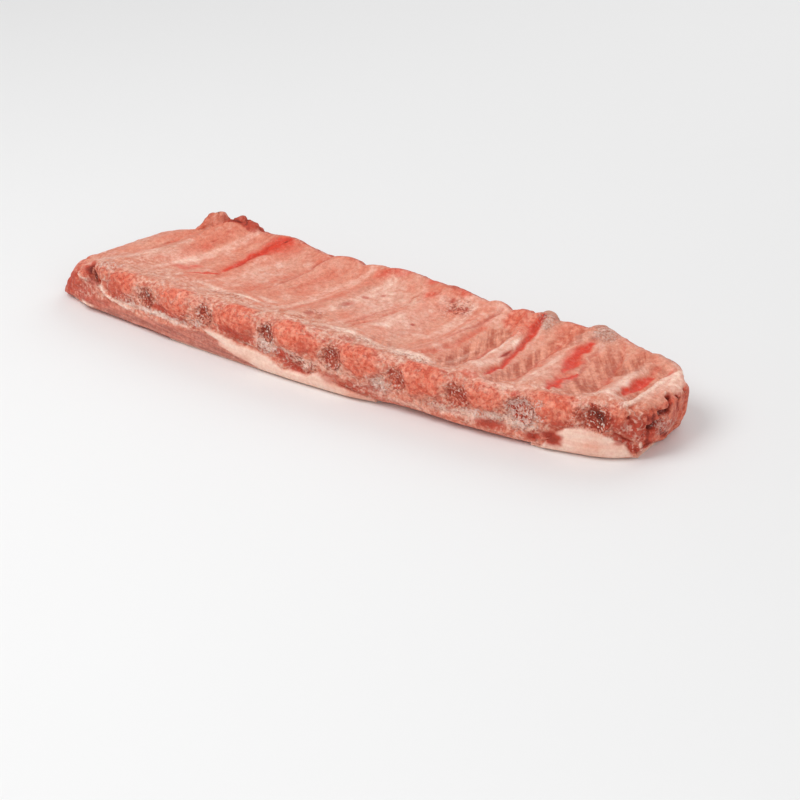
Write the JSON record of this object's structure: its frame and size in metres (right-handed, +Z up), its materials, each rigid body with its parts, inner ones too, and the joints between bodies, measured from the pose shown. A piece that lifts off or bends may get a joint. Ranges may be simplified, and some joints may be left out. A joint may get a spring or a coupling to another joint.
{
  "type": "rack of pork ribs",
  "caption": "Raw rack of pork back ribs, bone side up: a long slab of meat with rib bones across it, sawn ends along one edge and outer fat underneath.",
  "frame": {"origin": "centre of the bounding box, at its bottom: on the surface that the rack lies on", "axes": "+X along the rack towards its blunt end, +Y from the sawn edge to the trimmed edge, +Z up out of the bone side"},
  "size_m": [0.3216, 0.0893, 0.0331],
  "materials": {
    "meat": "moist raw pork under a thin pale membrane",
    "fat": "smooth pinkish white fat",
    "bone": "sawn bone with dark red spongy marrow"
  },
  "bodies": {
    "root": {"meat": "meat", "outer_fat_left": "fat", "outer_fat_right": "fat", "rib_bone_1": "bone", "rib_bone_2": "bone", "rib_bone_3": "bone", "rib_bone_4": "bone", "rib_bone_5": "bone", "rib_bone_6": "bone", "rib_bone_7": "bone", "rib_bone_8": "bone", "rib_bone_9": "bone"}
  },
  "joints": []
}
